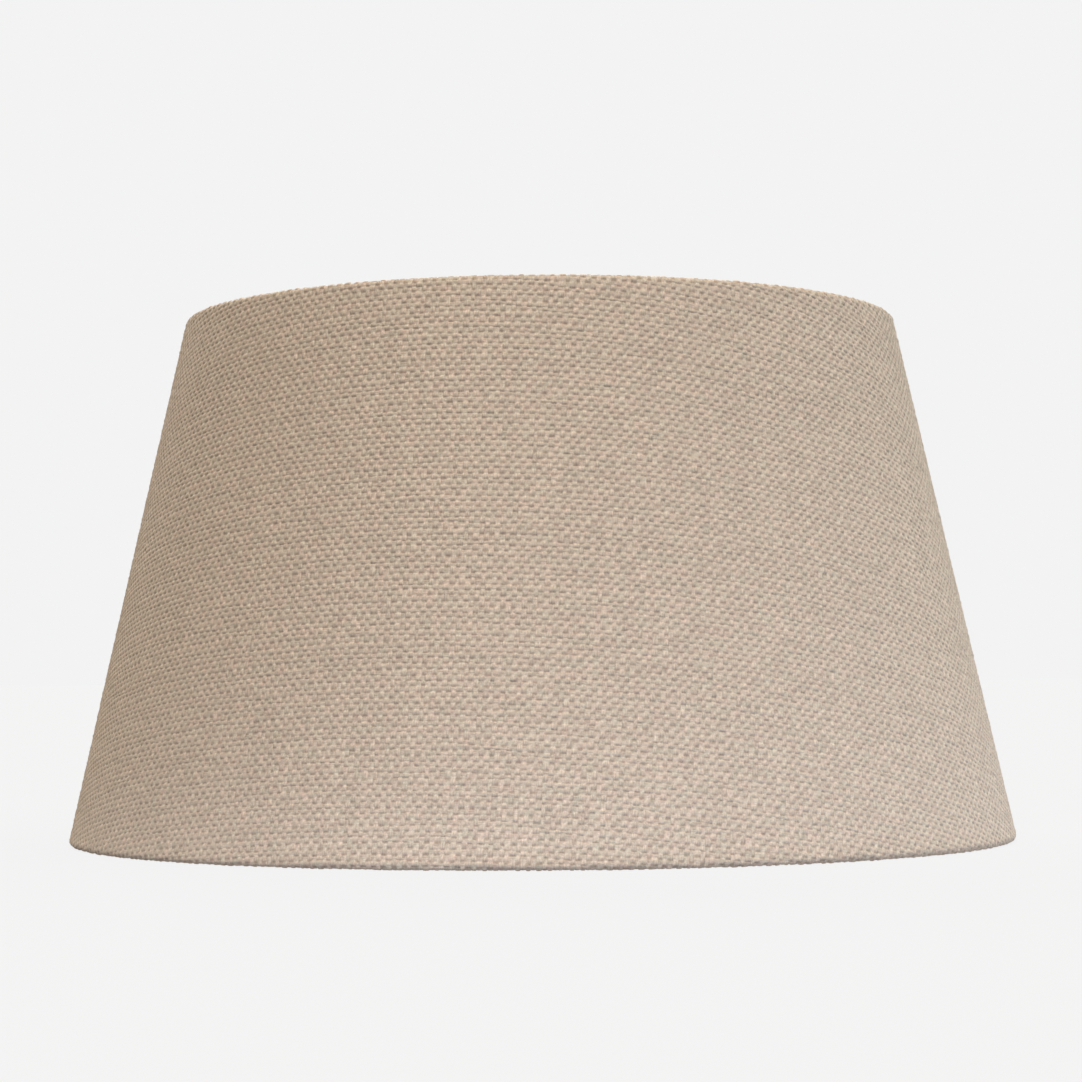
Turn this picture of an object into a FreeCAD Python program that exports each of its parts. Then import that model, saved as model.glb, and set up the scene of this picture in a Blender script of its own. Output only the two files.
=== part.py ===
import FreeCAD, Part

import math
import os
import Sketcher

# A hardback drum shade in one document. +Z is up, the origin is the centre of the circle that the
# shade stands on, and all lengths are in millimetres. Azimuths are counted from +X towards +Y.
# The front of the shade faces -Y.

Vector = FreeCAD.Vector

doc = FreeCAD.newDocument("lamp_shade")

SIZES = (
    # outside of the finished shade
    ("bottom_radius", 200.0),
    ("top_radius", 152.0),
    ("shade_height", 221.0),
    # sheet goods
    ("cloth_thickness", 0.9),
    ("liner_thickness", 0.4),
    ("tape_thickness", 0.15),
    # wire frame: two hoops and the spider's three arms
    ("hoop_wire_radius", 1.25),
    ("arm_wire_radius", 1.25),
    ("arm_shoulder", 13.0),
    ("arm_overhang", 7.0),
    ("arm_seat", 10.0),
    ("arm_bend_radius", 6.0),
    ("first_arm_azimuth", 90.0),
    # hems rolled round the hoops
    ("hem_sweep", 290.0),
    ("hem_snip_width", 3.4),
    ("liner_end_gap", 1.3),
    # back seam, where one end of the cloth lies over the other
    ("seam_azimuth", 75.0),
    ("seam_overlap", 12.0),
    ("seam_ramp", 22.0),
    ("seam_end_gap", 1.5),
    ("seam_feather", 0.1),
    # ring that drops over a lamp holder
    ("fitter_bore_radius", 21.0),
    ("fitter_outer_radius", 30.0),
    ("fitter_thickness", 2.0),
    ("fitter_drop", 51.0),
    ("fitter_edge_radius", 0.5),
)

# Lengths that follow from the cells above, written as expressions.
ROLL = "(Sizes.hoop_wire_radius + Sizes.tape_thickness + Sizes.cloth_thickness)"
TAPE_OUTSIDE = "(Sizes.hoop_wire_radius + Sizes.tape_thickness)"
TOP_HOOP_RADIUS = f"(Sizes.top_radius - {ROLL})"
TOP_HOOP_Z = f"(Sizes.shade_height - {ROLL})"
BOTTOM_HOOP_RADIUS = f"(Sizes.bottom_radius - {ROLL})"
BOTTOM_HOOP_Z = ROLL
SEAM_RADIUS = "((Sizes.bottom_radius + Sizes.top_radius) / 2)"
OVERLAP_ANGLE = f"(Sizes.seam_overlap / {SEAM_RADIUS} * 180 / pi)"
RAMP_ANGLE = f"(Sizes.seam_ramp / {SEAM_RADIUS} * 180 / pi)"
FITTER_TOP_Z = "(Sizes.shade_height - Sizes.fitter_drop)"
ARM_START_RADIUS = f"({TOP_HOOP_RADIUS} - Sizes.hoop_wire_radius / 2)"
ARM_TIP_RADIUS = "(Sizes.fitter_outer_radius - Sizes.arm_overhang)"
ARM_SEAT_Z = f"({FITTER_TOP_Z} + Sizes.arm_wire_radius)"
ARM_COUNT = 3
ARM_STEP = 360.0 / ARM_COUNT


def make_sheet():
    sheet = doc.addObject("Spreadsheet::Sheet", "Sizes")
    for row, (alias, number) in enumerate(SIZES, start=1):
        sheet.set(f"A{row}", alias)
        sheet.set(f"B{row}", str(number))
        sheet.setAlias(f"B{row}", alias)
    doc.recompute()
    return sheet


sheet = make_sheet()


def size(formula):
    """The present value of an expression, for drawing a sketch near its final shape."""
    return float(doc.Sizes.evalExpression(formula))


# ---------------------------------------------------------------- bodies, sketches and features

def new_body(label):
    body = doc.addObject("PartDesign::Body", label)
    body.Label = label
    return body


def origin_item(body, role):
    return next(item for item in body.Origin.OriginFeatures if item.Role == role)


def new_sketch(body, name, plane, azimuth=None, offset=None):
    """A sketch on one of the body's own planes, turned about Z or moved along its normal."""
    sketch = body.newObject("Sketcher::SketchObject", f"{body.Label}_{name}")
    sketch.AttachmentSupport = [(origin_item(body, plane), "")]
    sketch.MapMode = "FlatFace"
    if azimuth:
        sketch.AttachmentOffset = FreeCAD.Placement(Vector(), FreeCAD.Rotation(Vector(0, 1, 0), 1))
        sketch.setExpression("AttachmentOffset.Rotation.Angle", azimuth)
    if offset:
        sketch.setExpression("AttachmentOffset.Base.z", offset)
    return sketch


def drive(sketch, name, formula, kind, *items):
    """Add a dimension to a sketch and bind it to an expression of the sheet's cells."""
    number = size(formula)
    if kind == "Angle":
        number = math.radians(number)
    index = sketch.addConstraint(Sketcher.Constraint(kind, *items, number))
    sketch.renameConstraint(index, name)
    sketch.setExpression(f"Constraints.{name}", formula)


def tie(sketch, kind, *items):
    sketch.addConstraint(Sketcher.Constraint(kind, *items))


def place_point(sketch, name, geometry, point, radius, height):
    """Hold one point of a sketch at a radius from the axis and a height above the base."""
    drive(sketch, f"{name}_radius", radius, "DistanceX", -1, 1, geometry, point)
    drive(sketch, f"{name}_height", height, "DistanceY", -1, 1, geometry, point)


def revolve(body, sketch, name, angle=None):
    turned = body.newObject("PartDesign::Revolution", f"{body.Label}_{name}")
    turned.Profile = sketch
    turned.ReferenceAxis = (sketch, ["V_Axis"])
    turned.Angle = 360.0
    if angle:
        turned.Midplane = True
        turned.setExpression("Angle", angle)
    sketch.Visibility = False
    return turned


# ---------------------------------------------------------------- the wall's own frame of reference

def top_hoop():
    return Vector(size(TOP_HOOP_RADIUS), size(TOP_HOOP_Z), 0)


def bottom_hoop():
    return Vector(size(BOTTOM_HOOP_RADIUS), size(BOTTOM_HOOP_Z), 0)


def up_the_wall():
    return (top_hoop() - bottom_hoop()).normalize()


def out_of_the_wall():
    up = up_the_wall()
    return Vector(up.y, -up.x, 0)


def outward_angle():
    out = out_of_the_wall()
    return math.atan2(out.y, out.x)


def draw_hoop_line(sketch):
    """A construction line from the bottom hoop's centre to the top hoop's, parallel to the wall."""
    line = sketch.addGeometry(Part.LineSegment(bottom_hoop(), top_hoop()), True)
    place_point(sketch, "bottom_hoop", line, 1, BOTTOM_HOOP_RADIUS, BOTTOM_HOOP_Z)
    place_point(sketch, "top_hoop", line, 2, TOP_HOOP_RADIUS, TOP_HOOP_Z)
    return line


def draw_wall_strip(sketch, near, far, end_gap):
    """A long thin rectangle beside the hoop line, from near to far outside it, short at each end."""
    guide = draw_hoop_line(sketch)
    up = up_the_wall()
    out = out_of_the_wall()
    low = bottom_hoop() + up * size(end_gap)
    high = top_hoop() - up * size(end_gap)
    corners = [
        low + out * size(near),
        high + out * size(near),
        high + out * size(far),
        low + out * size(far),
    ]
    sides = [
        sketch.addGeometry(Part.LineSegment(start, end), False)
        for start, end in zip(corners, corners[1:] + corners[:1])
    ]
    for side, following in zip(sides, sides[1:] + sides[:1]):
        tie(sketch, "Coincident", side, 2, following, 1)
    near_side, top_end, far_side, bottom_end = sides
    tie(sketch, "Parallel", near_side, guide)
    tie(sketch, "Parallel", far_side, guide)
    tie(sketch, "Perpendicular", top_end, guide)
    tie(sketch, "Perpendicular", bottom_end, guide)
    drive(sketch, "near", near, "Distance", near_side, 1, guide)
    drive(sketch, "far", far, "Distance", far_side, 1, guide)
    drive(sketch, "bottom_gap", end_gap, "Distance", guide, 1, bottom_end)
    drive(sketch, "top_gap", end_gap, "Distance", guide, 2, top_end)


def arc(centre, radius, start, end):
    return Part.ArcOfCircle(Part.Circle(centre, Vector(0, 0, 1), radius), start, end)


# ---------------------------------------------------------------- cloth

def draw_cloth_section(sketch):
    """The wall with a hem rolled over the top hoop and another under the bottom hoop."""
    out = out_of_the_wall()
    outward = outward_angle()
    sweep = math.radians(size("Sizes.hem_sweep"))
    outside = size(ROLL)
    inside = size(TAPE_OUTSIDE)
    top = top_hoop()
    bottom = bottom_hoop()

    outer_wall = sketch.addGeometry(Part.LineSegment(bottom + out * outside, top + out * outside), False)
    inner_wall = sketch.addGeometry(Part.LineSegment(top + out * inside, bottom + out * inside), False)
    top_outer = sketch.addGeometry(arc(top, outside, outward, outward + sweep), False)
    top_inner = sketch.addGeometry(arc(top, inside, outward, outward + sweep), False)
    bottom_outer = sketch.addGeometry(arc(bottom, outside, outward - sweep, outward), False)
    bottom_inner = sketch.addGeometry(arc(bottom, inside, outward - sweep, outward), False)
    top_cut = Vector(math.cos(outward + sweep), math.sin(outward + sweep), 0)
    bottom_cut = Vector(math.cos(outward - sweep), math.sin(outward - sweep), 0)
    top_edge = sketch.addGeometry(Part.LineSegment(top + top_cut * outside, top + top_cut * inside), False)
    bottom_edge = sketch.addGeometry(
        Part.LineSegment(bottom + bottom_cut * inside, bottom + bottom_cut * outside), False
    )

    tie(sketch, "Tangent", outer_wall, 2, top_outer, 1)
    tie(sketch, "Tangent", outer_wall, 1, bottom_outer, 2)
    tie(sketch, "Tangent", inner_wall, 1, top_inner, 1)
    tie(sketch, "Tangent", inner_wall, 2, bottom_inner, 2)
    tie(sketch, "Coincident", top_outer, 2, top_edge, 1)
    tie(sketch, "Coincident", top_edge, 2, top_inner, 2)
    tie(sketch, "Coincident", bottom_inner, 1, bottom_edge, 1)
    tie(sketch, "Coincident", bottom_edge, 2, bottom_outer, 1)
    tie(sketch, "Coincident", top_inner, 3, top_outer, 3)
    tie(sketch, "Coincident", bottom_inner, 3, bottom_outer, 3)
    tie(sketch, "PointOnObject", top_outer, 3, top_edge)
    tie(sketch, "PointOnObject", bottom_outer, 3, bottom_edge)
    place_point(sketch, "top_hoop", top_outer, 3, TOP_HOOP_RADIUS, TOP_HOOP_Z)
    place_point(sketch, "bottom_hoop", bottom_outer, 3, BOTTOM_HOOP_RADIUS, BOTTOM_HOOP_Z)
    drive(sketch, "top_roll", ROLL, "Radius", top_outer)
    drive(sketch, "top_inside", TAPE_OUTSIDE, "Radius", top_inner)
    drive(sketch, "bottom_roll", ROLL, "Radius", bottom_outer)
    drive(sketch, "bottom_inside", TAPE_OUTSIDE, "Radius", bottom_inner)
    drive(sketch, "top_sweep", "Sizes.hem_sweep", "Angle", top_outer)
    drive(sketch, "bottom_sweep", "Sizes.hem_sweep", "Angle", bottom_outer)


def draw_snip(sketch):
    """The outline of the snip that lets one spider arm out through the top hem."""
    half_width = size("Sizes.hem_snip_width / 2")
    low = size(f"{TOP_HOOP_Z} - 2 * {ROLL}")
    high = size(f"{TOP_HOOP_Z} + 2 * {ROLL}")
    corners = [
        Vector(-half_width, low, 0),
        Vector(half_width, low, 0),
        Vector(half_width, high, 0),
        Vector(-half_width, high, 0),
    ]
    sides = [
        sketch.addGeometry(Part.LineSegment(start, end), False)
        for start, end in zip(corners, corners[1:] + corners[:1])
    ]
    for side, following in zip(sides, sides[1:] + sides[:1]):
        tie(sketch, "Coincident", side, 2, following, 1)
    bottom_side, right_side, top_side, left_side = sides
    tie(sketch, "Vertical", right_side)
    tie(sketch, "Horizontal", top_side)
    tie(sketch, "Vertical", left_side)
    tie(sketch, "Symmetric", bottom_side, 1, bottom_side, 2, -2)
    drive(sketch, "width", "Sizes.hem_snip_width", "DistanceX", bottom_side, 1, bottom_side, 2)
    drive(sketch, "low", f"{TOP_HOOP_Z} - 2 * {ROLL}", "DistanceY", -1, 1, bottom_side, 1)
    drive(sketch, "high", f"{TOP_HOOP_Z} + 2 * {ROLL}", "DistanceY", -1, 1, top_side, 1)


def snip_for_arms(body, rolled):
    """Cut the top hem of a rolled piece open from the inside, once for each spider arm."""
    outline = new_sketch(body, "snip_outline", "XZ_Plane")
    draw_snip(outline)
    doc.recompute()
    snip = body.newObject("PartDesign::Pocket", f"{body.Label}_snip")
    snip.Profile = outline
    snip.setExpression("Length", TOP_HOOP_RADIUS)
    outline.Visibility = False
    doc.recompute()
    if not snip.Shape.Volume < rolled.Shape.Volume:
        raise RuntimeError(f"the snip in {body.Label} cuts nothing")
    around = body.newObject("PartDesign::PolarPattern", f"{body.Label}_snips")
    around.Originals = [snip]
    around.Axis = (origin_item(body, "Z_Axis"), [""])
    around.Angle = 360.0
    around.Occurrences = ARM_COUNT
    body.Tip = around
    doc.recompute()
    if not around.Shape.Volume < snip.Shape.Volume:
        raise RuntimeError(f"the snips in {body.Label} don't repeat")


def make_cover_fabric():
    body = new_body("cover_fabric")
    section = new_sketch(body, "section", "XZ_Plane")
    draw_cloth_section(section)
    wall = revolve(body, section, "wall")
    snip_for_arms(body, wall)

    lap_inside = f"{ROLL} + Sizes.tape_thickness"
    lap_outside = f"{ROLL} + Sizes.tape_thickness + Sizes.cloth_thickness"
    lap = new_sketch(body, "lap_section", "XZ_Plane", azimuth="Sizes.seam_azimuth")
    draw_wall_strip(lap, lap_inside, lap_outside, "Sizes.seam_end_gap")

    ramp_inside = f"{ROLL} - Sizes.cloth_thickness / 2"
    high_side = f"Sizes.seam_azimuth + {OVERLAP_ANGLE} / 2"
    low_side = f"Sizes.seam_azimuth + {OVERLAP_ANGLE} / 2 + {RAMP_ANGLE}"
    ramp_start = new_sketch(body, "ramp_start", "XZ_Plane", azimuth=high_side)
    draw_wall_strip(ramp_start, ramp_inside, lap_outside, "Sizes.seam_end_gap")
    ramp_end = new_sketch(body, "ramp_end", "XZ_Plane", azimuth=low_side)
    draw_wall_strip(ramp_end, ramp_inside, f"{ROLL} + Sizes.seam_feather", "Sizes.seam_end_gap")
    ramp = body.newObject("PartDesign::AdditiveLoft", "cover_fabric_ramp")
    ramp.Profile = ramp_start
    ramp.Sections = [ramp_end]
    ramp.Ruled = True
    ramp_start.Visibility = False
    ramp_end.Visibility = False
    body.Tip = ramp
    doc.recompute()

    over = revolve(body, lap, "lap", OVERLAP_ANGLE)
    body.Tip = over
    doc.recompute()
    return body


def make_liner():
    body = new_body("liner")
    section = new_sketch(body, "section", "XZ_Plane")
    draw_wall_strip(
        section, f"{TAPE_OUTSIDE} - Sizes.liner_thickness", TAPE_OUTSIDE, "Sizes.liner_end_gap"
    )
    revolve(body, section, "cone")
    return body


# ---------------------------------------------------------------- tapes

def make_seam_tape():
    """Double-sided tape that holds the lapped end of the cloth down."""
    body = new_body("seam_tape")
    section = new_sketch(body, "section", "XZ_Plane", azimuth="Sizes.seam_azimuth")
    draw_wall_strip(section, ROLL, f"{ROLL} + Sizes.tape_thickness", "Sizes.seam_end_gap")
    revolve(body, section, "strip", OVERLAP_ANGLE)
    return body


def draw_tape_section(sketch, centre_point, centre, sweep_sign):
    """A thin C round a hoop's wire that starts against the wall and follows the hem."""
    guide = draw_hoop_line(sketch)
    outward = outward_angle()
    sweep = math.radians(size("Sizes.hem_sweep"))
    first = outward if sweep_sign > 0 else outward - sweep
    last = first + sweep
    inside = size("Sizes.hoop_wire_radius")
    outside = size(TAPE_OUTSIDE)
    inner = sketch.addGeometry(arc(centre, inside, first, last), False)
    outer = sketch.addGeometry(arc(centre, outside, first, last), False)
    at_first = Vector(math.cos(first), math.sin(first), 0)
    at_last = Vector(math.cos(last), math.sin(last), 0)
    first_line = Part.LineSegment(centre + at_first * inside, centre + at_first * outside)
    first_end = sketch.addGeometry(first_line, False)
    last_line = Part.LineSegment(centre + at_last * outside, centre + at_last * inside)
    last_end = sketch.addGeometry(last_line, False)
    tie(sketch, "Coincident", inner, 1, first_end, 1)
    tie(sketch, "Coincident", first_end, 2, outer, 1)
    tie(sketch, "Coincident", outer, 2, last_end, 1)
    tie(sketch, "Coincident", last_end, 2, inner, 2)
    tie(sketch, "Coincident", inner, 3, guide, centre_point)
    tie(sketch, "Coincident", outer, 3, guide, centre_point)
    tie(sketch, "PointOnObject", guide, centre_point, first_end)
    tie(sketch, "PointOnObject", guide, centre_point, last_end)
    tie(sketch, "Perpendicular", first_end if sweep_sign > 0 else last_end, guide)
    drive(sketch, "inside", "Sizes.hoop_wire_radius", "Radius", inner)
    drive(sketch, "outside", TAPE_OUTSIDE, "Radius", outer)
    drive(sketch, "sweep", "Sizes.hem_sweep", "Angle", outer)


def make_top_hem_tape():
    body = new_body("top_hem_tape")
    section = new_sketch(body, "section", "XZ_Plane")
    draw_tape_section(section, 2, top_hoop(), 1)
    wrap = revolve(body, section, "wrap")
    snip_for_arms(body, wrap)
    return body


def make_bottom_hem_tape():
    body = new_body("bottom_hem_tape")
    section = new_sketch(body, "section", "XZ_Plane")
    draw_tape_section(section, 1, bottom_hoop(), -1)
    revolve(body, section, "wrap")
    return body


# ---------------------------------------------------------------- wire frame

def make_hoop(label, radius, height):
    hoop = doc.addObject("Part::Torus", label)
    hoop.Label = label
    hoop.setExpression("Radius1", radius)
    hoop.setExpression("Radius2", "Sizes.hoop_wire_radius")
    hoop.setExpression("Placement.Base.z", height)
    return hoop


def draw_arm_path(sketch):
    """From the top hoop level inwards, round a bend, down a straight slope, then level to the tip."""
    bend = size("Sizes.arm_bend_radius")
    hoop_end = Vector(size(ARM_START_RADIUS), size(TOP_HOOP_Z), 0)
    shoulder = hoop_end - Vector(size("Sizes.arm_shoulder"), 0, 0)
    tip = Vector(size(ARM_TIP_RADIUS), size(ARM_SEAT_Z), 0)
    seat = tip + Vector(size("Sizes.arm_seat"), 0, 0)
    upper_centre = shoulder - Vector(0, bend, 0)
    lower_centre = seat + Vector(0, bend, 0)
    apart = upper_centre - lower_centre
    slope_angle = math.atan2(apart.y, apart.x) + math.asin(2 * bend / apart.Length)
    side = Vector(-math.sin(slope_angle), math.cos(slope_angle), 0) * bend
    quarter = math.pi / 2

    top_run = sketch.addGeometry(Part.LineSegment(hoop_end, shoulder), False)
    upper_bend = sketch.addGeometry(arc(upper_centre, bend, quarter, quarter + slope_angle), False)
    slope = sketch.addGeometry(Part.LineSegment(upper_centre + side, lower_centre - side), False)
    lower_bend = sketch.addGeometry(arc(lower_centre, bend, 3 * quarter, 3 * quarter + slope_angle), False)
    seat_run = sketch.addGeometry(Part.LineSegment(seat, tip), False)
    tie(sketch, "Horizontal", top_run)
    tie(sketch, "Horizontal", seat_run)
    tie(sketch, "Tangent", top_run, 2, upper_bend, 1)
    tie(sketch, "Tangent", upper_bend, 2, slope, 1)
    tie(sketch, "Tangent", slope, 2, lower_bend, 2)
    tie(sketch, "Tangent", lower_bend, 1, seat_run, 1)
    place_point(sketch, "hoop_end", top_run, 1, ARM_START_RADIUS, TOP_HOOP_Z)
    place_point(sketch, "tip", seat_run, 2, ARM_TIP_RADIUS, ARM_SEAT_Z)
    drive(sketch, "upper_bend", "Sizes.arm_bend_radius", "Radius", upper_bend)
    drive(sketch, "lower_bend", "Sizes.arm_bend_radius", "Radius", lower_bend)
    drive(sketch, "shoulder", "Sizes.arm_shoulder", "Distance", top_run, 1, top_run, 2)
    drive(sketch, "seat", "Sizes.arm_seat", "Distance", seat_run, 1, seat_run, 2)


def make_arm(number):
    body = new_body(f"spider_arm_{number}")
    path = new_sketch(body, "path", "XZ_Plane")
    draw_arm_path(path)
    doc.recompute()

    wire = new_sketch(body, "wire", "YZ_Plane", offset=ARM_START_RADIUS)
    circle = wire.addGeometry(
        Part.Circle(Vector(0, size(TOP_HOOP_Z), 0), Vector(0, 0, 1), size("Sizes.arm_wire_radius")), False
    )
    tie(wire, "PointOnObject", circle, 3, -2)
    drive(wire, "height", TOP_HOOP_Z, "DistanceY", -1, 1, circle, 3)
    drive(wire, "thickness", "Sizes.arm_wire_radius", "Radius", circle)
    doc.recompute()

    run = body.newObject("PartDesign::AdditivePipe", f"{body.Label}_run")
    run.Profile = wire
    run.Spine = (path, [f"Edge{index + 1}" for index in range(len(path.Shape.Edges))])
    path.Visibility = False
    wire.Visibility = False
    doc.recompute()

    saddle = new_sketch(body, "saddle", "XZ_Plane")
    hoop = saddle.addGeometry(
        Part.Circle(top_hoop(), Vector(0, 0, 1), size("Sizes.hoop_wire_radius")), False
    )
    place_point(saddle, "hoop", hoop, 3, TOP_HOOP_RADIUS, TOP_HOOP_Z)
    drive(saddle, "thickness", "Sizes.hoop_wire_radius", "Radius", hoop)
    cope = body.newObject("PartDesign::Groove", f"{body.Label}_cope")
    cope.Profile = saddle
    cope.ReferenceAxis = (saddle, ["V_Axis"])
    cope.Angle = 360.0
    saddle.Visibility = False
    body.Tip = cope

    body.Placement = FreeCAD.Placement(Vector(), FreeCAD.Rotation(Vector(0, 0, 1), 1))
    body.setExpression(
        "Placement.Rotation.Angle", f"Sizes.first_arm_azimuth + {ARM_STEP * (number - 1)}"
    )
    doc.recompute()
    if not cope.Shape.Volume < run.Shape.Volume:
        raise RuntimeError(f"the cope in {body.Label} cuts nothing")
    return body


def make_fitter_ring():
    body = new_body("fitter_ring")
    outline = new_sketch(body, "outline", "XY_Plane", offset=f"{FITTER_TOP_Z} - Sizes.fitter_thickness")
    for name in ("fitter_bore_radius", "fitter_outer_radius"):
        circle = outline.addGeometry(
            Part.Circle(Vector(), Vector(0, 0, 1), size(f"Sizes.{name}")), False
        )
        tie(outline, "Coincident", circle, 3, -1, 1)
        drive(outline, name, f"Sizes.{name}", "Radius", circle)
    washer = body.newObject("PartDesign::Pad", "fitter_ring_washer")
    washer.Profile = outline
    washer.setExpression("Length", "Sizes.fitter_thickness")
    outline.Visibility = False
    doc.recompute()
    outer_edges = [
        f"Edge{index}"
        for index, edge in enumerate(washer.Shape.Edges, start=1)
        if hasattr(edge.Curve, "Radius") and edge.Curve.Radius > size("Sizes.fitter_bore_radius + 1")
    ]
    eased = body.newObject("PartDesign::Fillet", "fitter_ring_eased_edges")
    eased.Base = (washer, outer_edges)
    eased.setExpression("Radius", "Sizes.fitter_edge_radius")
    body.Tip = eased
    doc.recompute()
    return body


# ---------------------------------------------------------------- build, check and write

def make_all():
    pieces = [
        make_cover_fabric(),
        make_liner(),
        make_seam_tape(),
        make_top_hem_tape(),
        make_bottom_hem_tape(),
        make_hoop("top_ring", TOP_HOOP_RADIUS, TOP_HOOP_Z),
        make_hoop("bottom_ring", BOTTOM_HOOP_RADIUS, BOTTOM_HOOP_Z),
    ]
    pieces += [make_arm(number) for number in range(1, ARM_COUNT + 1)]
    pieces.append(make_fitter_ring())
    doc.recompute()
    return pieces


def check(pieces):
    for item in doc.Objects:
        if "Invalid" in item.State or "Error" in item.State:
            raise RuntimeError(f"{item.Label} did not build: {item.State}")
    for piece in pieces:
        shape = piece.Shape
        if shape.isNull() or not shape.isValid() or not shape.Solids:
            raise RuntimeError(f"{piece.Label} has no valid solid")
        print(piece.Label, len(shape.Solids), "solid", round(shape.Volume / 1000, 2), "cm3")


def write(pieces):
    os.makedirs("parts", exist_ok=True)
    for piece in pieces:
        piece.Shape.exportStep(f"parts/{piece.Label}.step")


shade = make_all()
check(shade)
write(shade)
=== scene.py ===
"""A tapered lamp shade in coarse linen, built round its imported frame.

The woven cover is made here. All other pieces keep the frame's shapes and only get materials.
"""

import math

import bpy
import numpy as np
from mathutils import Matrix, Vector


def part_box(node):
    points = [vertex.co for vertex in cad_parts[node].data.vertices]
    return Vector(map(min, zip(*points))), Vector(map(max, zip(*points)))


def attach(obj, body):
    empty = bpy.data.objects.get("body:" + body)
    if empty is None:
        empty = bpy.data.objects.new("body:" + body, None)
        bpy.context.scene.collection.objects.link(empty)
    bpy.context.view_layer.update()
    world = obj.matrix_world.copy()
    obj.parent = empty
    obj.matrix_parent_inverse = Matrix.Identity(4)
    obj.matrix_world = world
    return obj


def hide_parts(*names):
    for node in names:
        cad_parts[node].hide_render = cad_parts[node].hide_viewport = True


MM = 0.001
DEGREE = math.pi / 180

# The rolled edges, from each hoop's line outwards.
WIRE = 1.25 * MM
TAPE = 0.15 * MM
CLOTH = 0.9 * MM
ROLL = WIRE + TAPE + CLOTH / 2
HEM_TURN = 312 * DEGREE

# The seam at the back: the cloth's free end laps over its other end, and its edge is folded under.
# Azimuths are from the front, towards the right. The lap's lift fades out over a stretch before each hem,
# measured in roll radii.
SEAM_EDGE = -196.95 * DEGREE
SEAM_FLAT_END = -193.05 * DEGREE
SEAM_RAMP_END = -185.9 * DEGREE
UNDER_EDGE = 166.95 * DEGREE
SEAM_LIFT = CLOTH + TAPE
FOLD = 0.5 * MM
LIFT_FADE = 1.5

# The snips in the top hem that let the arms through.
ARMS = (180 * DEGREE, -60 * DEGREE, 60 * DEGREE)
SNIP_HALF = 1.7 * MM
SNIP_START = 112 * DEGREE

# The weave: yarns per metre of flat cloth, right and down, and where each yarn has its mesh points.
WARP = np.array((510.0, 36.5))
WEFT = np.array((-24.0, 470.5))
SAMPLED = np.array((0.0, 0.33, 0.5, 0.67))

# The yarns' relief: rise over a crossing, bulge across the yarn, how deep it lies, half its width in pitches.
WARP_CRIMP = 0.38 * MM
WEFT_CRIMP = 0.18 * MM
WARP_PLUMP = 0.17 * MM
WEFT_PLUMP = 0.24 * MM
WARP_SINK = 0.10 * MM
WEFT_SINK = 0.19 * MM
WARP_HALF = 0.54
WEFT_HALF = 0.56

# How uneven the yarns are: by crossing, from yarn to yarn, sideways, and in thickness along their length.
# Wander and slub are sums of waves, counted in waves per pitch.
CROSSING_UNEVEN = 0.3
YARN_UNEVEN = 0.15
WANDER = {"count": 10, "fast": 0.45, "slow": 0.08, "size": 0.08}
SLUB = {"count": 8, "fast": 0.9, "slow": 0.12, "size": 0.12}
SEED = 41

# The cloth's colours, and the painted shade in its hollows: brown, as the light there has met the cloth more
# than once.
WARP_COLOUR = (0.607, 0.536, 0.480, 1.0)
WEFT_COLOUR = (0.617, 0.546, 0.490, 1.0)
ROSY = (1.03, 0.983, 0.985, 1.0)
GREENISH = (0.972, 1.006, 0.99, 1.0)
PAINTED_HOLLOW_SHADE = (0.42, 0.30, 0.20, 1.0)
OPEN = (1.0, 1.0, 1.0, 1.0)
SHEEN = (1.0, 0.86, 0.66, 1.0)

# How much lighter or darker the cloth gets by yarn, by fibre, by float and in flecks.
TONE_RANGE = 0.025
GRAIN_RANGE = 0.17
FLOAT_RANGE = 0.09
FLECK_RANGE = 0.19

# Sizes of those patterns, in noise cells per pitch, and where the hue turns from rosy to greenish.
# The offset keeps the weft's tones apart from the warp's.
GRAIN_ACROSS = 5.0
GRAIN_ALONG = 0.6
FLECK_SCALE = 2.3
HUE_SCALE = 0.5
HUE_LOW = 0.35
HUE_HIGH = 0.65
TONE_OFFSET = 0.37

# The fibres' relief, the gaps' share in it, and the fibres' roughness, greatest where the grain is dark.
FIBRE_DEPTH = 0.17 * MM
GAP_DEPTH = 0.6
ROUGHEST = 0.62
SMOOTHEST = 0.48

# Painted shade in the cloth's colour: less light deep down, between yarns and round a warp float's lower end.
# The gaps start that far from a yarn's middle, in pitches.
DEEP = -0.30 * MM
SHALLOW = 0.05 * MM
DEEP_SHADE = 0.45
GAP_SHADE = 0.94
ROW_GAP_START = 0.40
COLUMN_GAP_START = 0.38
FLOAT_LIGHT = 0.90
LOWER_END_SHADE = 0.40
UPPER_END_SHARE = -0.42
END_WIDTH = 0.6
END_SHARPNESS = 4.0
SIDE_SHADE = 0.08

# The other materials: the darker and lighter tone of each, and the noise where the enamel's scuffs set in.
STYRENE = ((0.80, 0.785, 0.75, 1.0), (0.87, 0.86, 0.835, 1.0))
SCUFFED_ENAMEL = (0.60, 0.58, 0.54, 1.0)
CLEAN_ENAMEL = (0.84, 0.83, 0.80, 1.0)
TAPE_FILM = ((0.70, 0.68, 0.62, 1.0), (0.82, 0.81, 0.77, 1.0))
SCUFF_START = 0.62
SCUFF_FULL = 0.72
SCUFF_SHARE = 0.6

# Noise keeps mostly to this range.
NOISE_LOW = 0.3
NOISE_HIGH = 0.7
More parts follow.
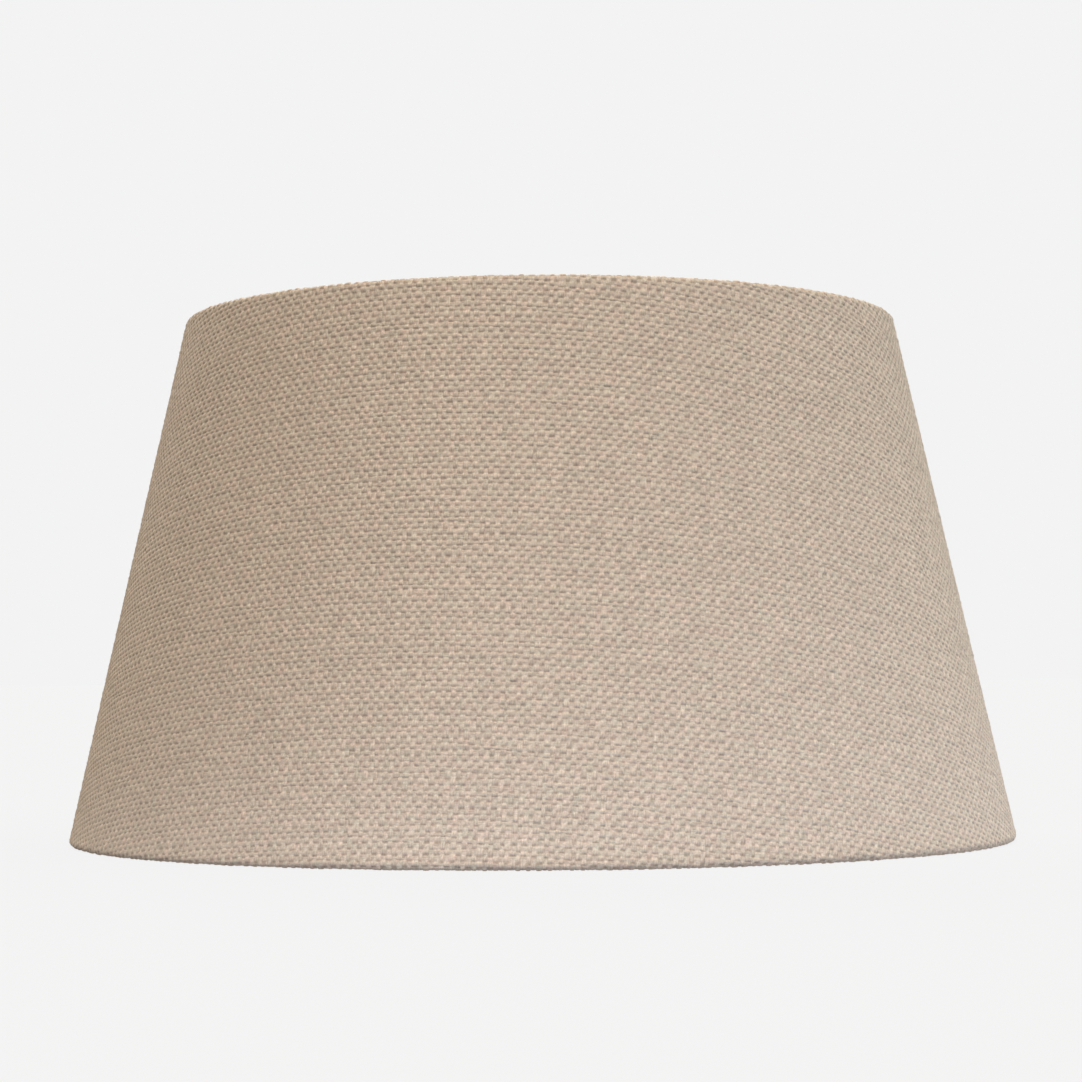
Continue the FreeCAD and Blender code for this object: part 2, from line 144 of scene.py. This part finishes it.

# The surroundings: what backdrop and floor give off, and a glowing floor patch lighting the shade, dim near
# the rim.
AMBIENT = (0.03, 0.027, 0.023, 1.0)
BACKDROP = (0.896, 0.896, 0.896, 1.0)
FLOOR_SEEN = (0.834, 0.838, 0.846, 1.0)
FLOOR_MATT = (0.05, 0.05, 0.05, 1.0)
FLOOR_GLOW = (0.03, 0.03, 0.03, 1.0)
FLOOR_HALF = 60.0
SHEET_GLOW = (0.80, 0.92, 1.12, 1.0)
SHEET_CENTRE = (0.22, -0.12, 0.0)
SHEET_RADIUS = 0.28
SHEET_FALLOFF = 0.2
RIM_GLOW = (0.36, 0.28, 0.20, 1.0)
RIM_SHADE_START = 0.196
RIM_SHADE_END = 0.209

# The camera, looking a little upwards from just above the bottom rim.
EYE = (0.0, -1.16493, 0.068135)
LENS = 90.013
TILT_UP = 0.05109
LEAN = -0.0064
VIEW_LIMIT = 200.0


def node(tree, kind, inputs=None, **settings):
    """A shader node. Inputs are plain values, or sockets to link from."""
    made = tree.nodes.new("ShaderNode" + kind)
    for name, value in settings.items():
        setattr(made, name, value)
    for key, value in (inputs or {}).items():
        if isinstance(value, bpy.types.NodeSocket):
            tree.links.new(value, made.inputs[key])
        else:
            made.inputs[key].default_value = value
    return made


def maths(tree, operation, *values):
    return node(tree, "Math", dict(enumerate(values)), operation=operation).outputs[0]


def product(tree, first, *others):
    for other in others:
        first = maths(tree, "MULTIPLY", first, other)
    return first


def stretched(tree, vector, factors):
    return node(tree, "VectorMath", {0: vector, 1: factors}, operation="MULTIPLY").outputs[0]


def ramp(tree, value, low, high, to_low, to_high):
    limits = {"From Min": low, "From Max": high, "To Min": to_low, "To Max": to_high}
    return node(tree, "MapRange", {"Value": value, **limits}).outputs["Result"]


def blended(tree, share, first, second, how="MIX"):
    made = node(tree, "Mix", data_type="RGBA", blend_type=how)
    for index, value in ((0, share), (6, first), (7, second)):
        if isinstance(value, bpy.types.NodeSocket):
            tree.links.new(value, made.inputs[index])
        else:
            made.inputs[index].default_value = value
    return made.outputs[2]


def noise(tree, vector, scale, detail=2.0):
    made = node(tree, "TexNoise", {"Vector": vector, "Scale": scale, "Detail": detail, "Roughness": 0.6})
    return made.outputs["Fac"]


def spread(tree, noisy, low, high):
    """A noise, stretched to run from low to high."""
    return ramp(tree, noisy, NOISE_LOW, NOISE_HIGH, low, high)


def material(name):
    made = bpy.data.materials.new(name)
    made.use_nodes = True
    made.node_tree.nodes.clear()
    return made, made.node_tree


def surface(tree, inputs):
    shader = node(tree, "BsdfPrincipled", inputs)
    node(tree, "OutputMaterial", {"Surface": shader.outputs["BSDF"]})


def random_tone(tree, yarn):
    return node(tree, "TexWhiteNoise", {"W": yarn}, noise_dimensions="1D").outputs["Value"]


def of_top_yarn(tree, warp_over, of_warp, of_weft):
    """The warp's value where the warp is on top, and the weft's where the weft is."""
    return maths(tree, "MULTIPLY_ADD", warp_over, maths(tree, "SUBTRACT", of_warp, of_weft), of_weft)


def half_turns(tree, wave, yarns):
    """A sine or cosine that changes sign from one yarn to the next."""
    return maths(tree, wave, maths(tree, "MULTIPLY", yarns, math.pi))


def gap_shade(tree, yarns, start):
    """Painted shade between yarns: one over a yarn's middle, falling from start to the gap half a pitch away.
    """
    off_middle = maths(tree, "PINGPONG", yarns, 0.5)
    return ramp(tree, off_middle, start, 0.5, 1.0, GAP_SHADE)


def float_shade(tree, across, down):
    """Painted shade round each warp float's lower end and right side, painted light round its other end and
    side.
    """
    row = half_turns(tree, "SINE", down)
    near_end = maths(tree, "POWER", maths(tree, "ABSOLUTE", row), END_SHARPNESS)
    which_end = maths(tree, "MULTIPLY", half_turns(tree, "COSINE", across), maths(tree, "SIGN", row))
    share = ramp(tree, which_end, -END_WIDTH, END_WIDTH, UPPER_END_SHARE, 1.0)
    ends = maths(tree, "MULTIPLY_ADD", product(tree, near_end, share), -LOWER_END_SHADE, FLOAT_LIGHT)
    beside = product(tree, half_turns(tree, "SINE", across), half_turns(tree, "COSINE", down))
    return maths(tree, "MULTIPLY_ADD", beside, -SIDE_SHADE, ends)


def linen():
    """The cloth: fibre grain, lighter and darker yarns and floats, flecks, and painted brown shade in the
    hollows.
    """
    made, tree = material("linen")
    weave = node(tree, "Attribute", attribute_name="weave").outputs["Vector"]
    relief = node(tree, "Attribute", attribute_name="relief").outputs["Fac"]
    across, down, warp_over = node(tree, "SeparateXYZ", {0: weave}).outputs
    patch = stretched(tree, weave, (1.0, 1.0, 0.0))

    warp_yarn = maths(tree, "ROUND", across)
    weft_yarn = maths(tree, "ADD", maths(tree, "ROUND", down), TONE_OFFSET)
    tone = of_top_yarn(tree, warp_over, random_tone(tree, warp_yarn), random_tone(tree, weft_yarn))
    warp_grain = noise(tree, stretched(tree, weave, (GRAIN_ACROSS, GRAIN_ALONG, 0.0)), 1.0)
    weft_grain = noise(tree, stretched(tree, weave, (GRAIN_ALONG, GRAIN_ACROSS, 0.0)), 1.0)
    grain = of_top_yarn(tree, warp_over, warp_grain, weft_grain)
    crossing = node(tree, "CombineXYZ", {0: warp_yarn, 1: weft_yarn}).outputs[0]
    of_float = node(tree, "TexWhiteNoise", {"Vector": crossing}, noise_dimensions="2D").outputs["Value"]
    flecks = noise(tree, patch, FLECK_SCALE)
    light = ramp(tree, of_float, 0.0, 1.0, 1.0 - FLOAT_RANGE, 1.0 + FLOAT_RANGE)
    light = maths(tree, "ADD", light, ramp(tree, tone, 0.0, 1.0, -TONE_RANGE, TONE_RANGE))
    light = maths(tree, "ADD", light, spread(tree, grain, -GRAIN_RANGE, GRAIN_RANGE))
    light = maths(tree, "ADD", light, spread(tree, flecks, -FLECK_RANGE, FLECK_RANGE))

    yarn = blended(tree, warp_over, WEFT_COLOUR, WARP_COLOUR)
    rosy = blended(tree, 1.0, yarn, ROSY, "MULTIPLY")
    greenish = blended(tree, 1.0, yarn, GREENISH, "MULTIPLY")
    hue = noise(tree, patch, HUE_SCALE, 1.0)
    tinted = blended(tree, ramp(tree, hue, HUE_LOW, HUE_HIGH, 0.0, 1.0), rosy, greenish)
    lit = node(tree, "VectorMath", {0: tinted, "Scale": light}, operation="SCALE").outputs[0]

    # Painted shade: the colour darkens deep in the relief, between yarns and round each warp float's lower
    # end.
    depth = ramp(tree, relief, DEEP, SHALLOW, DEEP_SHADE, 1.0)
    row_gap = gap_shade(tree, down, ROW_GAP_START)
    column_gap = gap_shade(tree, across, COLUMN_GAP_START)
    painted_shading = product(tree, depth, float_shade(tree, across, down), row_gap, column_gap)
    colour = blended(tree, 1.0, lit, blended(tree, painted_shading, PAINTED_HOLLOW_SHADE, OPEN), "MULTIPLY")

    fibres = maths(tree, "MULTIPLY_ADD", row_gap, GAP_DEPTH, grain)
    bump = node(tree, "Bump", {"Strength": 1.0, "Distance": FIBRE_DEPTH, "Height": fibres})
    surface(tree, {
        "Base Color": colour,
        "Roughness": spread(tree, grain, ROUGHEST, SMOOTHEST),
        "Specular IOR Level": 0.5,
        "Sheen Weight": 0.24,
        "Sheen Roughness": 0.5,
        "Sheen Tint": SHEEN,
        "Normal": bump.outputs["Normal"],
    })
    return made


def satin_plastic():
    """The liner: off-white styrene sheet, with the faint mottle and drawing lines of an extruded film."""
    made, tree = material("satin_styrene")
    place = node(tree, "TexCoord").outputs["Object"]
    lines = noise(tree, stretched(tree, place, (1.0, 1.0, 0.08)), 900.0, 3.0)
    cloud = spread(tree, noise(tree, place, 45.0, 3.0), 0.0, 1.0)
    colour = blended(tree, cloud, *STYRENE)
    bump = node(tree, "Bump", {"Strength": 0.15, "Distance": 0.05 * MM, "Height": lines})
    surface(tree, {
        "Base Color": colour,
        "Roughness": spread(tree, lines, 0.38, 0.52),
        "Specular IOR Level": 0.4,
        "Normal": bump.outputs["Normal"],
    })
    return made


def white_enamel():
    """The hoops, arms and fitter: thick white epoxy paint, a little yellowed and scuffed."""
    made, tree = material("white_enamel")
    place = node(tree, "TexCoord").outputs["Object"]
    peel = noise(tree, place, 1400.0, 2.0)
    scuff = noise(tree, place, 160.0, 6.0)
    worn = ramp(tree, scuff, SCUFF_START, SCUFF_FULL, 0.0, 1.0)
    colour = blended(tree, maths(tree, "MULTIPLY", worn, SCUFF_SHARE), CLEAN_ENAMEL, SCUFFED_ENAMEL)
    bump = node(tree, "Bump", {"Strength": 0.25, "Distance": 0.06 * MM, "Height": peel})
    surface(tree, {
        "Base Color": colour,
        "Roughness": ramp(tree, worn, 0.0, 1.0, 0.32, 0.5),
        "Coat Weight": 0.3,
        "Coat Roughness": 0.2,
        "Normal": bump.outputs["Normal"],
    })
    return made


def sticky_tape():
    """The tape under the hems and the lap: clear double-sided film, milky with adhesive."""
    made, tree = material("sticky_tape")
    place = node(tree, "TexCoord").outputs["Object"]
    smear = noise(tree, place, 260.0, 4.0)
    colour = blended(tree, smear, *TAPE_FILM)
    bump = node(tree, "Bump", {"Strength": 0.3, "Distance": 0.05 * MM, "Height": smear})
    surface(tree, {
        "Base Color": colour,
        "Roughness": spread(tree, smear, 0.25, 0.45),
        "Specular IOR Level": 0.5,
        "Normal": bump.outputs["Normal"],
    })
    return made


def hoop_line(name):
    """Radius and height of a hoop's centre line."""
    low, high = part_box(name)
    return np.array((high.x - WIRE, (low.z + high.z) / 2))


def waves(rng, along, across, count, fast, slow, size):
    """A smooth random field: sines that change quickly in one direction and slowly in the other."""
    field = np.zeros_like(along)
    for _ in range(count):
        start = rng.uniform(0, 2 * math.pi)
        quick = across * rng.uniform(0.3, 1) * fast
        field += np.sin(2 * math.pi * (quick + along * rng.uniform(-1, 1) * slow) + start)
    return field * size / math.sqrt(count / 2)


def relief_of(rng, across, down):
    """Height of the cloth's outer face over its middle, and how far the warp is the yarn on top."""
    warp, weft = np.rint(across).astype(int), np.rint(down).astype(int)
    side, along = across - warp, down - weft
    over = 1.0 - 2.0 * ((warp + weft) % 2)
    first_warp, first_weft = warp.min(), weft.min()
    warps, wefts = warp - first_warp, weft - first_weft
    crossing = 1 + CROSSING_UNEVEN * rng.uniform(-1, 1, (warps.max() + 1, wefts.max() + 1))[warps, wefts]
    warp_size = 1 + YARN_UNEVEN * rng.uniform(-1, 1, warps.max() + 1)[warps]
    weft_size = 1 + YARN_UNEVEN * rng.uniform(-1, 1, wefts.max() + 1)[wefts]
    slub = 1 + waves(rng, down, across, **SLUB)
    slub_across = 1 + waves(rng, across, down, **SLUB)
    warp_round = np.sqrt(np.clip(1 - (side / WARP_HALF) ** 2, 0, 1))
    weft_round = np.sqrt(np.clip(1 - (along / WEFT_HALF) ** 2, 0, 1))
    warp_top = over * crossing * WARP_CRIMP * crimped(along) - WARP_SINK
    weft_top = -over * crossing * WEFT_CRIMP * crimped(side) - WEFT_SINK
    warp_top += WARP_PLUMP * warp_size * slub * warp_round
    weft_top += WEFT_PLUMP * weft_size * slub_across * weft_round
    return np.maximum(warp_top, weft_top), (warp_top > weft_top).astype(float)


class Cone:
    """The cover's section, and where a point of the flat cloth lies once it is glued on."""

    def __init__(self):
        self.top, self.bottom = hoop_line("top_ring"), hoop_line("bottom_ring")
        wall = self.top - self.bottom
        self.wall = float(np.hypot(*wall))
        self.up = wall / self.wall
        self.out = np.array((self.up[1], -self.up[0]))
        self.sine = (self.bottom[0] - self.top[0]) / self.wall
        self.apex_to_top = (self.top[0] + ROLL * self.out[0]) / self.sine
        self.first = self.apex_to_top - ROLL * HEM_TURN
        self.last = self.apex_to_top + self.wall + ROLL * HEM_TURN

    def section(self, distance, height):
        """Radius and height of points that far from the apex, standing that high off the cloth's middle."""
        fall = distance - self.apex_to_top
        over_top = np.maximum(-fall, 0) / ROLL
        under_bottom = np.maximum(fall - self.wall, 0) / ROLL
        on_wall = np.clip(fall, 0, self.wall)
        turn = over_top - under_bottom
        off_wall, along_wall = np.cos(turn), np.sin(turn)
        reach = ROLL + height
        outward = self.out[0] * off_wall + self.up[0] * along_wall
        upward = self.out[1] * off_wall + self.up[1] * along_wall
        radius = self.top[0] - self.up[0] * on_wall + reach * outward
        level = self.top[1] - self.up[1] * on_wall + reach * upward
        return radius, level

    def girth(self, distance):
        """Radius of the cloth's middle there, for turning lengths round the shade into angles."""
        fall = np.clip(distance - self.apex_to_top, 0, self.wall)
        return self.top[0] - self.up[0] * fall + ROLL * self.out[0]


def smooth(value):
    value = np.clip(value, 0, 1)
    return value * value * (3 - 2 * value)


def crimped(part):
    """A yarn's rise over one crossing, from 1 at its middle to 0 at its ends: flat on top, steep at both."""
    return np.sqrt(np.clip(np.cos(math.pi * part), 0, 1))


def flat_grid(cone, rng):
    """The cloth as cut: points on the yarns' grid, with their distances from the cone's apex and azimuths."""
    turns = np.linspace(SEAM_EDGE - DEGREE, UNDER_EDGE, 60) * cone.sine
    arc = np.stack((np.sin(turns), np.cos(turns)), 1)
    edge = np.concatenate((cone.first * arc, cone.last * arc))
    spare = 2
    rows = []
    for yarns in (WARP, WEFT):
        low, high = (edge @ yarns).min() - spare, (edge @ yarns).max() + spare
        rows.append((np.arange(math.floor(low), math.ceil(high))[:, None] + SAMPLED).ravel())
    across, down = np.meshgrid(*rows, indexing="ij")
    moved_across = across - waves(rng, down, across, **WANDER)
    moved_down = down - waves(rng, across, down, **WANDER)
    to_flat = np.linalg.inv(np.array((WARP, WEFT)))
    right = to_flat[0, 0] * moved_across + to_flat[0, 1] * moved_down
    low = to_flat[1, 0] * moved_across + to_flat[1, 1] * moved_down
    return across, down, np.hypot(right, low), np.arctan2(right, low) / cone.sine


def kept_quads(inside):
    """Index arrays of the grid's quads that have a corner inside."""
    touched = inside[:-1, :-1] | inside[1:, :-1] | inside[1:, 1:] | inside[:-1, 1:]
    a, b = np.nonzero(touched)
    width = inside.shape[1]
    return np.stack((a * width + b, a * width + b + 1, (a + 1) * width + b + 1, (a + 1) * width + b), 1)


def past_snip_start(cone, distance):
    return cone.apex_to_top - distance - SNIP_START * ROLL


def snipped(cone, distance, azimuth):
    """How deep each point lies inside a snip, below zero outside, and the snip's own azimuth."""
    past = past_snip_start(cone, distance)
    depth, at = np.full(distance.shape, -1.0), np.zeros(distance.shape)
    for arm in ARMS:
        away = (azimuth - arm + math.pi) % (2 * math.pi) - math.pi
        inside = np.minimum(SNIP_HALF - np.abs(away) * cone.top[0], past)
        nearer = inside > depth
        depth, at = np.where(nearer, inside, depth), np.where(nearer, azimuth - away, at)
    return depth, at


def make_cover():
    """The cloth: cut flat on its yarns' grid, laid round the cone, rolled at both hems, lapped behind."""
    cone = Cone()
    rng = np.random.default_rng(SEED)
    across, down, distance, azimuth = flat_grid(cone, rng)
    girth = cone.girth(distance)
    fold_reach = math.pi * FOLD / girth
    inside = (distance > cone.first) & (distance < cone.last)
    inside &= (azimuth > SEAM_EDGE - fold_reach) & (azimuth < UNDER_EDGE)
    depth, snip_at = snipped(cone, distance, azimuth)
    inside &= depth < 0

    # Every quad with a corner inside is kept, and its corners beyond an edge are pulled back onto that edge.
    quads = kept_quads(inside)
    used, quads = np.unique(quads, return_inverse=True)
    quads = quads.reshape(-1, 4)
    across, down, distance, azimuth, girth, fold_reach, depth, snip_at = (
        grid.ravel()[used] for grid in (across, down, distance, azimuth, girth, fold_reach, depth, snip_at)
    )
    height, warp_over = relief_of(rng, across, down)
    distance = np.clip(distance, cone.first, cone.last)
    azimuth = np.clip(azimuth, SEAM_EDGE - fold_reach, UNDER_EDGE)

    cut = depth > 0
    past = past_snip_start(cone, distance)
    aside = SNIP_HALF - np.abs(azimuth - snip_at) * cone.top[0]
    by_side = cut & (aside <= past)
    by_start = cut & (aside > past)
    azimuth = np.where(by_side, snip_at + np.sign(azimuth - snip_at) * SNIP_HALF / cone.top[0], azimuth)
    distance = np.where(by_start, cone.apex_to_top - SNIP_START * ROLL, distance)
    height = np.where(cut, -CLOTH / 2, height)

    fold = np.clip((SEAM_EDGE - azimuth) * girth / FOLD, 0, math.pi)
    lift = SEAM_LIFT * smooth((SEAM_RAMP_END - azimuth) / (SEAM_RAMP_END - SEAM_FLAT_END))
    on_hem = np.maximum(cone.apex_to_top - distance, distance - cone.apex_to_top - cone.wall)
    lift *= 1 - smooth(on_hem / (LIFT_FADE * ROLL) + 1)
    lift -= FOLD * (1 - np.cos(fold))
    shown_azimuth = np.maximum(azimuth, SEAM_EDGE) - (FOLD + height) * np.sin(fold) / girth
    radius, level = cone.section(distance, height * np.cos(fold) + lift)

    # The lowest yarns are pressed flat where the shade stands on them.
    level = np.maximum(level, 0)

    mesh = bpy.data.meshes.new("linen_cover")
    points = np.stack((radius * np.sin(shown_azimuth), -radius * np.cos(shown_azimuth), level), 1)
    mesh.vertices.add(len(points))
    mesh.vertices.foreach_set("co", points.astype(np.float32).ravel())
    mesh.loops.add(quads.size)
    mesh.loops.foreach_set("vertex_index", quads.astype(np.int32).ravel())
    mesh.polygons.add(len(quads))
    mesh.polygons.foreach_set("loop_start", np.arange(0, quads.size, 4, dtype=np.int32))
    mesh.update(calc_edges=True)
    mesh.polygons.foreach_set("use_smooth", np.ones(len(quads), bool))
    weave = mesh.attributes.new("weave", "FLOAT_VECTOR", "POINT")
    weave.data.foreach_set("vector", np.stack((across, down, warp_over), 1).astype(np.float32).ravel())
    relief = mesh.attributes.new("relief", "FLOAT", "POINT")
    relief.data.foreach_set("value", height.astype(np.float32))

    # Unwrapped as two half turns, one above the other.
    uv = mesh.uv_layers.new(name="OFBake")
    half_turn = (UNDER_EDGE - SEAM_EDGE) / 2
    strip = (azimuth[quads].mean(1) > SEAM_EDGE + half_turn).astype(float)[:, None]
    along = (azimuth[quads] - SEAM_EDGE) / half_turn - strip
    upward = (cone.last - distance[quads]) / (cone.last - cone.first)
    margin = 0.01
    flat = np.stack((margin + (1 - 2 * margin) * along, (strip + margin + (1 - 2 * margin) * upward) / 2), 2)
    uv.data.foreach_set("uv", flat.astype(np.float32).ravel())
    mesh.materials.append(linen())

    cover = bpy.data.objects.new("linen_cover", mesh)
    bpy.context.scene.collection.objects.link(cover)
    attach(cover, "root")
    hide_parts("cover_fabric")


def dress(names, made):
    for name in names:
        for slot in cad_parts[name].material_slots:
            slot.material = made


def sun(name, azimuth, elevation, width, strength, colour):
    """A distant lamp: azimuth from the front towards the right, elevation and angular width, in degrees."""
    lamp = bpy.data.lights.new(name, "SUN")
    lamp.energy = strength
    lamp.color = colour
    lamp.angle = width * DEGREE
    holder = bpy.data.objects.new(name, lamp)
    turn, rise = azimuth * DEGREE, elevation * DEGREE
    towards = Vector((math.sin(turn) * math.cos(rise), -math.cos(turn) * math.cos(rise), math.sin(rise)))
    holder.rotation_mode = "QUATERNION"
    holder.rotation_quaternion = towards.to_track_quat("Z", "Y")
    bpy.context.scene.collection.objects.link(holder)


def make_lights():
    """A warm key lamp from the front left, soft light from above and both sides, and a lamp behind."""
    sun("key", -20, 50, 14, 2.5, (1.0, 0.885, 0.735))
    sun("overhead", 0, 85, 60, 0.5, (1.0, 0.88, 0.74))
    sun("left", -85, 15, 90, 0.15, (1.0, 0.90, 0.74))
    sun("rear", 195, 30, 50, 1.5, (1.0, 0.93, 0.84))
    sun("back_right", 105, 25, 110, 2.3, (1.0, 0.94, 0.80))


def make_surroundings():
    """A pale backdrop and floor: plain to the camera, but lighting the shade with their own glow."""
    world = bpy.data.worlds.new("surroundings")
    bpy.context.scene.world = world
    world.use_nodes = True
    tree = world.node_tree
    tree.nodes.clear()
    seen = node(tree, "LightPath").outputs["Is Camera Ray"]
    colour = blended(tree, seen, AMBIENT, BACKDROP)
    sky = node(tree, "Background", {"Color": colour, "Strength": 1.0})
    node(tree, "OutputWorld", {"Surface": sky.outputs[0]})

    made, tree = material("floor")
    seen = node(tree, "LightPath").outputs["Is Camera Ray"]
    place = node(tree, "TexCoord").outputs["Object"]
    away = node(tree, "VectorMath", {0: place, 1: SHEET_CENTRE}, operation="DISTANCE").outputs["Value"]
    in_sheet = ramp(tree, away, SHEET_RADIUS, SHEET_RADIUS + SHEET_FALLOFF, 1.0, 0.0)
    sheet = blended(tree, in_sheet, FLOOR_GLOW, SHEET_GLOW)
    from_axis = node(tree, "VectorMath", {0: place}, operation="LENGTH").outputs["Value"]
    clear_of_rim = ramp(tree, from_axis, RIM_SHADE_START, RIM_SHADE_END, 0.0, 1.0)
    sheet = blended(tree, clear_of_rim, RIM_GLOW, sheet)
    glow = node(tree, "Emission", {"Color": blended(tree, seen, sheet, FLOOR_SEEN), "Strength": 1.0})
    matt = node(tree, "BsdfDiffuse", {"Color": FLOOR_MATT})
    both = node(tree, "AddShader", {0: glow.outputs[0], 1: matt.outputs[0]})
    node(tree, "OutputMaterial", {"Surface": both.outputs[0]})
    mesh = bpy.data.meshes.new("floor")
    corners = [(x * FLOOR_HALF, y * FLOOR_HALF, 0) for x, y in ((-1, -1), (1, -1), (1, 1), (-1, 1))]
    mesh.from_pydata(corners, [], [(0, 1, 2, 3)])
    mesh.materials.append(made)
    floor = bpy.data.objects.new("floor", mesh)
    bpy.context.scene.collection.objects.link(floor)


def make_camera():
    camera = bpy.data.cameras.new("camera")
    camera.lens = LENS
    camera.clip_end = VIEW_LIMIT
    holder = bpy.data.objects.new("camera", camera)
    turned = Matrix.Rotation(math.pi / 2 + TILT_UP, 4, "X") @ Matrix.Rotation(LEAN, 4, "Z")
    holder.matrix_world = Matrix.Translation(EYE) @ turned
    bpy.context.scene.collection.objects.link(holder)
    bpy.context.scene.camera = holder
    bpy.context.scene.view_settings.view_transform = "Standard"


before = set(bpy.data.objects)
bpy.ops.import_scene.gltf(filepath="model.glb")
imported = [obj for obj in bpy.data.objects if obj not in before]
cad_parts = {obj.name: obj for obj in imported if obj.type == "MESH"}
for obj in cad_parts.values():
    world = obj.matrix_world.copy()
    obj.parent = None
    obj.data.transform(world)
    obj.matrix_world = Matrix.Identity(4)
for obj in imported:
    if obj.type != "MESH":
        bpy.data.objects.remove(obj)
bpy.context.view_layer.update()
make_camera()
make_cover()
dress(["liner"], satin_plastic())
dress(
    ["top_ring", "bottom_ring", "spider_arm_1", "spider_arm_2", "spider_arm_3", "fitter_ring"],
    white_enamel(),
)
dress(["seam_tape", "top_hem_tape", "bottom_hem_tape"], sticky_tape())
make_lights()
make_surroundings()
